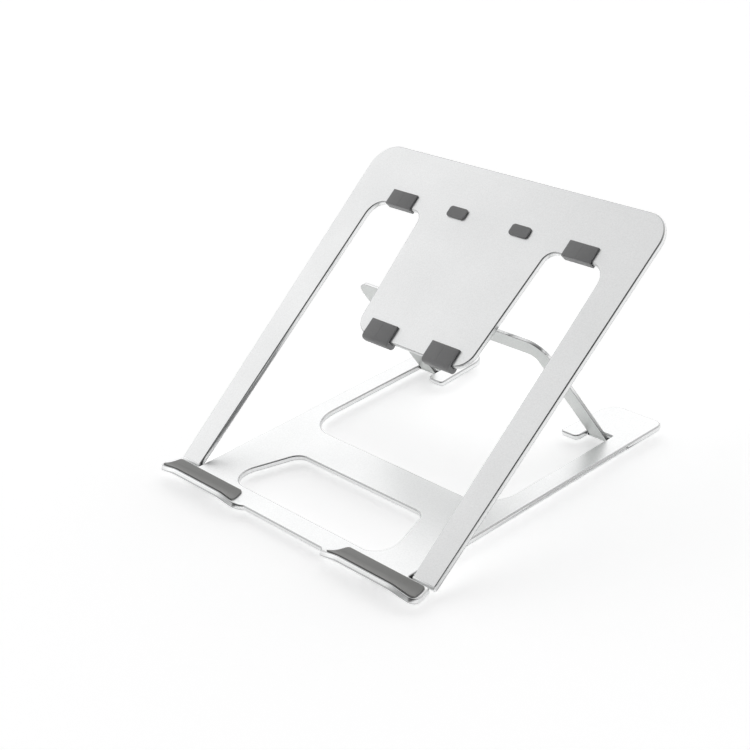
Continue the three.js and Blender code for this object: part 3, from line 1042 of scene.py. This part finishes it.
@dataclass
class BasePlate:
    """The base: one sheet with two arms, finger tabs and two curled front lips."""

    place: Placing
    maker: Maker
    pivot_y: float
    lip: Lip
    tongue: Tongue
    arm_outer: float = 101.7
    arm_inner: float = 86.9
    rear: float = 204.9
    rear_radius: float = 6.0
    tongue_gap: float = 1.3
    tab_outer: float = 69.3
    tab_reach: float = 10.0
    tab_corner: float = 4.0
    tab_rear_radius: float = 11.0
    tab_root_radius: float = 2.5
    slot_past_pivot: float = 3.1
    slot_corner: float = 0.8
    u_front: float = 73.3
    u_radius: float = 22.5
    cut_front: float = 0.4
    cut_rear: float = 46.0
    cut_front_half: float = 77.5
    cut_rear_half: float = 59.0
    cut_front_radius: float = 13.0
    cut_rear_radius: float = 10.0
    lip_end_radius: float = 1.2
    wing_rear: float = -2.6
    wing_end: float = 119.5
    wing_corner: float = 1.5
    wing_root_radius: float = 1.0
    pin_hole_radius: float = 0.85
    pin_hole_depth: float = 1.1
    pin_hole_past: float = 1.0
    pin_hole_soft: float = 0.05

    def tab_inner(self, y: float) -> float:
        """Inner edge of a finger tab at y, a small gap outside the folded tongue."""
        return self.tongue.half_width(y) + self.tongue_gap

    def outlines(self) -> list[Array]:
        """The flat blank's outline and its front cut-out."""
        lip = self.lip
        tip = float(lip.front(np.array([lip.outer_end]))[0, 1])
        tab_y = self.pivot_y - self.tab_reach
        slot_end = self.pivot_y + self.slot_past_pivot
        half = [
            (0, lip.flat_edge, 0),
            (lip.inner_end, lip.flat_edge, self.lip_end_radius),
            *lip.tapered(lip.inner_end + lip.blend, lip.outer_end - lip.corner_run),
            (lip.outer_end, tip, lip.corner),
            (self.wing_end, self.wing_rear, self.wing_corner),
            (self.arm_outer, self.wing_rear, self.wing_root_radius),
            (self.arm_outer, self.rear, self.rear_radius),
            (self.tab_inner(self.rear), self.rear, self.tab_rear_radius),
            (self.tab_inner(tab_y), tab_y, self.tab_root_radius),
            (self.tab_outer, tab_y, self.tab_corner),
            (self.tab_outer, slot_end, self.slot_corner),
            (self.arm_inner, slot_end, self.slot_corner),
            (self.arm_inner, self.u_front, self.u_radius),
            (0, self.u_front, 0),
        ]
        cut = [(0, self.cut_front, 0),
               (self.cut_front_half, self.cut_front, self.cut_front_radius),
               (self.cut_rear_half, self.cut_rear, self.cut_rear_radius),
               (0, self.cut_rear, 0)]
        return [rounded_outline(whole(half)), rounded_outline(whole(cut))]

    def pin_hole(self) -> Surface:
        """The plug that leaves the prop pin's hole in the outer side of an arm."""
        hole = barrel(self.arm_outer - self.pin_hole_depth, self.arm_outer + self.pin_hole_past,
                      self.pin_hole_radius, self.pin_hole_soft)
        hole.finish = [Zone.CUT] * len(hole.faces)
        return hole.mapped(lambda p: p + [0, self.pivot_y, 0])

    def build(self) -> None:
        """Cuts the blank, drills it, curls its lips and puts the sheet in place."""
        hole = self.pin_hole()
        blank = drilled(slab(self.outlines(), -HALF, HALF, SHEET_RIM, Zone.CUT),
                        hole.joined(hole.mirrored()))
        start = self.lip.bend_start
        fine = gridded(blank, self.lip.rows(), self.lip.columns(), start)
        centre_y = [np.mean([fine.points[i][1] for i in f]) for f in fine.faces]
        fine.smooth = [s or y < start for s, y in zip(fine.smooth, centre_y)]
        self.maker.piece("base_sheet", fine.mapped(self.lip.curl).mapped(self.place),
                         ["base", "rim", "side"], Body.BASE, "base_metal", ["base_plate"])


@dataclass
class FrontPad:
    """A soft strip that lines the curve of a lip.

    A pair of sizes is for its inner and its outer end.
    """

    place: Placing
    maker: Maker
    lip: Lip
    inner: float = 46.0
    outer: float = 122.0
    rear: float = -4.2
    below_rim: float = 0.8
    thickness: float = 0.9
    front_radii: tuple[float, float] = (1.2, 2.0)
    front_runs: tuple[float, float] = (2.8, 3.6)
    rear_radii: tuple[float, float] = (3.0, 2.4)
    rear_cuts: tuple[float, float] = (6.0, 4.0)
    rim: Edge = Edge(0.35)

    def outline(self) -> Array:
        """The strip laid flat, its rear corners cut back and its front edge along the rim."""
        ends = self.lip.front(np.array([self.inner, self.outer]), self.below_rim)
        inner, outer = ends[:, 1].tolist()
        inner_run, outer_run = self.front_runs
        along = self.lip.tapered(self.inner + inner_run, self.outer - outer_run, self.below_rim)
        return rounded_outline([(self.inner, inner, self.front_radii[0]),
                                *along,
                                (self.outer, outer, self.front_radii[1]),
                                (self.outer - self.rear_cuts[1], self.rear, self.rear_radii[1]),
                                (self.inner + self.rear_cuts[0], self.rear, self.rear_radii[0])])

    def build(self, side: Side) -> None:
        """Cuts the strip, lays it along the curl and puts it in place.

        Args:
            side: the lip it lines.
        """
        low = HALF + PAD_SEAT
        flat = slab([self.outline()], low, low + self.thickness, self.rim)
        fine = gridded(flat, self.lip.rows(), self.lip.columns(), self.lip.bend_start)
        fine.smooth = [True] * len(fine.smooth)
        surface = fine.mapped(self.lip.curl)
        surface = surface if side is Side.RIGHT else surface.mirrored()
        self.maker.piece(f"front_strip_{side.word}", surface.mapped(self.place), ["front"],
                         Body.BASE, "front_pad", [f"front_pad_{side.word}"])


@dataclass
class Foot:
    """A soft foot with a shallow ribbed sole."""

    maker: Maker
    corner: float = 4.35
    rim: Edge = Edge(0.5, 4)
    ribs_each_side: int = 2
    rib_pitch: float = 1.5
    rib_half: float = 0.45
    rib_corner: float = 0.4
    rib_margin: float = 4.0
    rib_height: float = 0.6
    rib_proud: float = 0.3
    rib_rim: Edge = Edge(0.15, 2)

    def build(self, node: str) -> None:
        """Makes the foot that fills a CAD foot's box.

        Args:
            node: the CAD node it stands for.
        """
        low, high = (np.array(v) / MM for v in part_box(node))
        cx, cy = (low[:2] + high[:2]) / 2
        w, d = (high[:2] - low[:2]) / 2
        bottom = low[2]
        surface = slab([oblong(w, d, self.corner)], bottom + self.rib_proud, high[2], self.rim)
        for k in range(-self.ribs_each_side, self.ribs_each_side + 1):
            outline = oblong(w - self.rib_margin, self.rib_half, self.rib_corner, self.rib_pitch * k)
            rib = slab([outline], bottom, bottom + self.rib_height, self.rib_rim)
            surface = surface.joined(rib)
        surface = surface.mapped(lambda p: p + [cx, cy, 0])
        self.maker.piece(f"sole_{node}", surface, ["foot"], Body.BASE, "foot", [node])


# ------------------------------------------------------------------ top plate
@dataclass
class TopPlate:
    """The plate that carries the laptop: one sheet with two legs and a tongue."""

    place: Placing
    maker: Maker
    tongue: Tongue
    length: float = 247.5
    far_half: float = 128.4
    end_half: float = 121.6
    corner: float = 17.5
    opening_half: float = 103.4
    opening_radius: float = 11.5
    tongue_end_radius: float = 12.8
    tongue_root_radius: float = 8.0
    past_axis: float = 0.3
    leg_end_soft: float = 0.42

    def outline(self) -> Array:
        """Outline of the sheet from the hinge axis up."""
        tongue = self.tongue
        return rounded_outline(whole([
            (0, tongue.end, 0),
            (tongue.end_half, tongue.end, self.tongue_end_radius),
            (tongue.root_half, tongue.root, self.tongue_root_radius),
            (self.opening_half, tongue.root, self.opening_radius),
            (self.opening_half, -self.past_axis, 0),
            (self.end_half, -self.past_axis, 0),
            (self.far_half, self.length, self.corner),
            (0, self.length, 0),
        ]))

    def build(self) -> None:
        """Cuts the sheet, adds the round leg ends and puts it in place."""
        sheet = slab([self.outline()], -HALF, HALF, SHEET_RIM, Zone.CUT)
        end = barrel(self.opening_half, self.end_half, HALF, self.leg_end_soft)
        surface = sheet.joined(end).joined(end.mirrored())
        self.maker.piece("top_sheet", surface.mapped(self.place), ["plate", "rim", "side"],
                         Body.TOP, "plate_metal", ["top_plate"])


@dataclass
class ClipPad:
    """A moulded pad hooked over an edge of the top plate, with a parting line."""

    place: Placing
    maker: Maker
    name: str
    edge_at: float
    centre: float
    width: float
    on_top: float
    under: float
    top: float
    edge: float
    bottom: float
    hook: float
    tip_corner: float = 0.1
    seat_corner: float = 0.15
    tip_share: float = 0.5
    nose_share: float = 0.9
    rim: Edge = Edge(0.22)
    parting_line: Groove = Groove(0.0, 0.09, 0.22)

    def section(self) -> Array:
        """The pad's hooked section in Y-Z."""
        top, bottom = HALF + PAD_SEAT, -HALF - PAD_SEAT
        inner = self.edge_at - PAD_SEAT
        outer = inner - self.edge
        nose = self.edge * self.nose_share
        return rounded_outline([
            (self.edge_at + self.on_top, top, self.tip_corner),
            (self.edge_at + self.on_top, top + self.top, self.top * self.tip_share),
            (outer, top + self.top, nose),
            (outer, bottom - self.bottom, nose),
            (self.edge_at + self.under, bottom - self.hook, self.hook * self.tip_share),
            (self.edge_at + self.under, bottom, self.tip_corner),
            (inner, bottom, self.seat_corner),
            (inner, top, self.seat_corner),
        ])

    def build(self, side: Side) -> None:
        """Carries the section along X with softened ends and a parting line at the middle.

        Args:
            side: the side of the plate it sits on.
        """
        w = self.width / 2
        surface = slab([self.section()], -w, w, self.rim, Zone.SKIN, self.parting_line)
        surface = crosswise(surface)
        surface = surface.mapped(lambda p: p + [self.centre, 0, 0])
        surface = surface if side is Side.RIGHT else surface.mirrored()
        self.maker.piece(f"{self.name}_{side.word}_pad", surface.mapped(self.place), ["clip"],
                         Body.TOP, "clip_pad", [f"{self.name}_clip_pad_{side.word}"])


@dataclass
class DotPad:
    """A small soft pad on the bar above the tongue."""

    place: Placing
    maker: Maker
    centre_y: float = 213.3
    centre_x: float = 28.0
    width: float = 16.0
    depth: float = 7.6
    thickness: float = 1.1
    corner: float = 2.2
    rim: Edge = Edge(0.45, 4)

    def build(self, side: Side) -> None:
        """A rounded slab with a soft rim.

        Args:
            side: the side of the plate it sits on.
        """
        low = HALF + PAD_SEAT
        outline = oblong(self.width / 2, self.depth / 2, self.corner)
        surface = slab([outline], low, low + self.thickness, self.rim)
        surface = surface.mapped(lambda p: p + [side.value * self.centre_x, self.centre_y, 0])
        self.maker.piece(f"dot_{side.word}", surface.mapped(self.place), ["clip"], Body.TOP,
                         "clip_pad", [f"dot_pad_{side.word}"])


# ------------------------------------------------------------------ prop
@dataclass
class Prop:
    """The bracket that stands under the tongue: two legs, a crossbar and a raised head."""

    place: Placing
    maker: Maker
    head: float = 96.73
    thickness: float = 2.1
    outer: float = 85.7
    inner: float = 71.4
    head_half: float = 40.0
    head_rise: float = 3.9
    head_slope: float = 0.6
    head_corner: float = 2.5
    head_root_radius: float = 8.0
    shoulder: float = 13.5
    bar_depth: float = 14.2
    bar_root_radius: float = 5.0
    barrel_radius: float = 1.6
    barrel_soft: float = 0.3
    rim: Edge = Edge(0.35, 3, Zone.RIM)

    def outline(self) -> Array:
        """Outline of the bracket from its pivot axis up."""
        bar = self.head - self.head_rise
        below = bar - self.bar_depth
        return rounded_outline(whole([
            (0, below, 0),
            (self.inner, below, self.bar_root_radius),
            (self.inner, 0, 0),
            (self.outer, 0, 0),
            (self.outer, bar, self.shoulder),
            (self.head_half, bar, self.head_root_radius),
            (self.head_half - self.head_rise * self.head_slope, self.head, self.head_corner),
            (0, self.head, 0),
        ]))

    def build(self) -> None:
        """Cuts the bracket, adds the round leg ends and puts it in place."""
        h = self.thickness / 2
        sheet = slab([self.outline()], -h, h, self.rim, Zone.CUT)
        end = barrel(self.inner, self.outer, self.barrel_radius, self.barrel_soft)
        surface = sheet.joined(end).joined(end.mirrored())
        self.maker.piece("prop_sheet", surface.mapped(self.place), ["prop", "rim", "side"],
                         Body.PROP, "prop_metal", ["prop_bracket"])


# ------------------------------------------------------------------ studio
@dataclass
class Studio:
    """The pale floor, the soft light and the camera.

    The eye's place is in millimetres from the middle of the hinge axis.
    """

    hinge: Vector
    eye: tuple[float, float, float] = (786.95, -493.45, 546.3)
    sensor: float = 36.0
    focal: float = 87.43
    seen_from: float = 0.05
    seen_to: float = 20.0
    azimuth: float = math.radians(54.36)
    elevation: float = math.radians(26.47)
    roll: float = math.radians(-9.6)
    floor_half: float = 6.0
    floor_drop: float = 0.0002
    floor_tone: float = 0.93
    floor_glow: float = 0.42
    floor_roughness: float = 0.9
    floor_specular: float = 0.1
    bright: Colour = (1.0, 1.0, 1.0)
    dark: Colour = (0.07, 0.07, 0.072)
    dark_side: tuple[float, float, float] = (0.52, -0.72, 0.46)
    falling_off: tuple[float, float] = (0.36, 0.92)
    brightness: float = 1.22

    def camera(self) -> None:
        """A camera at the object's usual viewing angle, with no shift."""
        data = bpy.data.cameras.new("camera")
        data.sensor_width, data.lens = self.sensor, self.focal
        data.clip_start, data.clip_end = self.seen_from, self.seen_to
        camera = linked("camera", data)
        az, el = self.azimuth, self.elevation
        back = Vector((math.sin(az) * math.cos(el), -math.cos(az) * math.cos(el), math.sin(el)))
        right = Vector((0, 0, 1)).cross(back).normalized()
        up = back.cross(right)
        c, s = math.cos(self.roll), math.sin(self.roll)
        across, upright = right * c + up * s, up * c - right * s
        turn = Matrix((across, upright, back)).transposed()
        x, y, z = self.eye
        spot = Vector((x, self.hinge.y + y, self.hinge.z + z)) * MM
        camera.matrix_world = Matrix.Translation(spot) @ turn.to_4x4()
        bpy.context.scene.camera = camera

    def floor(self) -> None:
        """A wide pale floor with a matt surface."""
        material, _, shader = start_material("studio_floor")
        shader.inputs["Base Color"].default_value = (*[self.floor_tone] * 3, 1)
        shader.inputs["Roughness"].default_value = self.floor_roughness
        shader.inputs["Specular IOR Level"].default_value = self.floor_specular
        shader.inputs["Emission Color"].default_value = (1, 1, 1, 1)
        shader.inputs["Emission Strength"].default_value = self.floor_glow
        mesh = bpy.data.meshes.new("studio_floor")
        r = self.floor_half
        mesh.from_pydata([(-r, -r, 0), (r, -r, 0), (r, r, 0), (-r, r, 0)], [], [(0, 1, 2, 3)])
        mesh.materials.append(material)
        floor = linked("studio_floor", mesh)
        floor.location.z = -self.floor_drop

    def panel(self, name: str, spot: Sequence[float], size: Sequence[float], power: float,
              aim: Sequence[float] = (0, 0, 0.05)) -> None:
        """A rectangular soft light that looks at a point.

        Args:
            name: name of the light.
            spot: where it stands, in metres.
            size: its width and height, in metres.
            power: watts.
            aim: the point it looks at.
        """
        data = bpy.data.lights.new(name, "AREA")
        data.shape, data.size, data.size_y, data.energy = "RECTANGLE", size[0], size[1], power
        light = linked(name, data)
        light.location = spot
        light.rotation_euler = (Vector(spot) - Vector(aim)).to_track_quat("Z", "Y").to_euler()

    def world(self) -> None:
        """A white surround that falls away to dark on the side the camera stands."""
        world = bpy.data.worlds.new("surround")
        world.use_nodes = True
        tree = world.node_tree
        place = tree.nodes.new("ShaderNodeTexCoord")
        toward = tree.nodes.new("ShaderNodeVectorMath")
        toward.operation = "DOT_PRODUCT"
        toward.inputs[1].default_value = self.dark_side
        tree.links.new(place.outputs["Generated"], toward.inputs[0])
        half = math_node(tree, "MULTIPLY", toward.outputs["Value"], 0.5)
        share = math_node(tree, "ADD", half, 0.5)
        colour = ramp(tree, share, self.bright, self.dark, self.falling_off)
        background = tree.nodes["Background"]
        tree.links.new(colour, background.inputs["Color"])
        background.inputs["Strength"].default_value = self.brightness
        bpy.context.scene.world = world

    def build(self) -> None:
        """Sets up everything that isn't the object."""
        self.camera()
        self.floor()
        self.world()
        self.panel("left_window", spot=(-1.4, -0.6, 0.9), size=(1.2, 1.2), power=1.0)
        bpy.context.scene.view_settings.view_transform = "Standard"
        LOG.info("studio: camera, floor and lights")


# ------------------------------------------------------------------ assembly
KEPT_SHAPES = {"hinge_pin": "pin", "prop_pin": "pin", "hinge_washer": "washer",
               "prop_washer": "washer", "stop_rail": "rail", "stop_screw": "screw"}


def dress_kept(maker: Maker) -> None:
    """Finishes for the pins, washers, rail and screws, whose CAD shape is kept.

    Args:
        maker: the maker with the finishes.
    """
    for node in sorted(frame["nodes"]):
        for start, finish in KEPT_SHAPES.items():
            if node.startswith(start):
                maker.dress(node, finish)


def main() -> None:
    """Builds the stand's looks, one sub-assembly after another."""
    logging.basicConfig(level=logging.INFO, format="%(name)s %(message)s")
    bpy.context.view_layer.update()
    hinge, pivot = joint_place("plate_hinge"), joint_place("prop_hinge")
    maker = Maker(Workshop().build())
    lip, tongue = Lip(), Tongue()
    on_base, on_plate = placing(hinge, 0.0), placing(hinge, STAND_ANGLE)
    on_prop = placing(pivot, STAND_ANGLE + PROP_TO_PLATE)
    BasePlate(on_base, maker, (pivot - hinge).y, lip, tongue).build()
    for side in Side:
        FrontPad(on_base, maker, lip).build(side)
    for node in sorted(n for n in frame["nodes"] if n.startswith("foot_")):
        Foot(maker).build(node)
    TopPlate(on_plate, maker, tongue).build()
    upper = ClipPad(on_plate, maker, "upper", edge_at=tongue.root, centre=79.6, width=23.0,
                    on_top=10.2, under=6.0, top=1.1, edge=0.9, bottom=0.8, hook=0.8)
    lower = ClipPad(on_plate, maker, "lower", edge_at=tongue.end, centre=28.0, width=23.6,
                    on_top=10.9, under=8.0, top=1.4, edge=3.2, bottom=2.9, hook=1.0)
    for side in Side:
        upper.build(side)
        lower.build(side)
        DotPad(on_plate, maker).build(side)
    Prop(on_prop, maker).build()
    dress_kept(maker)
    Studio(hinge).build()


if __name__ == "__main__":
    main()
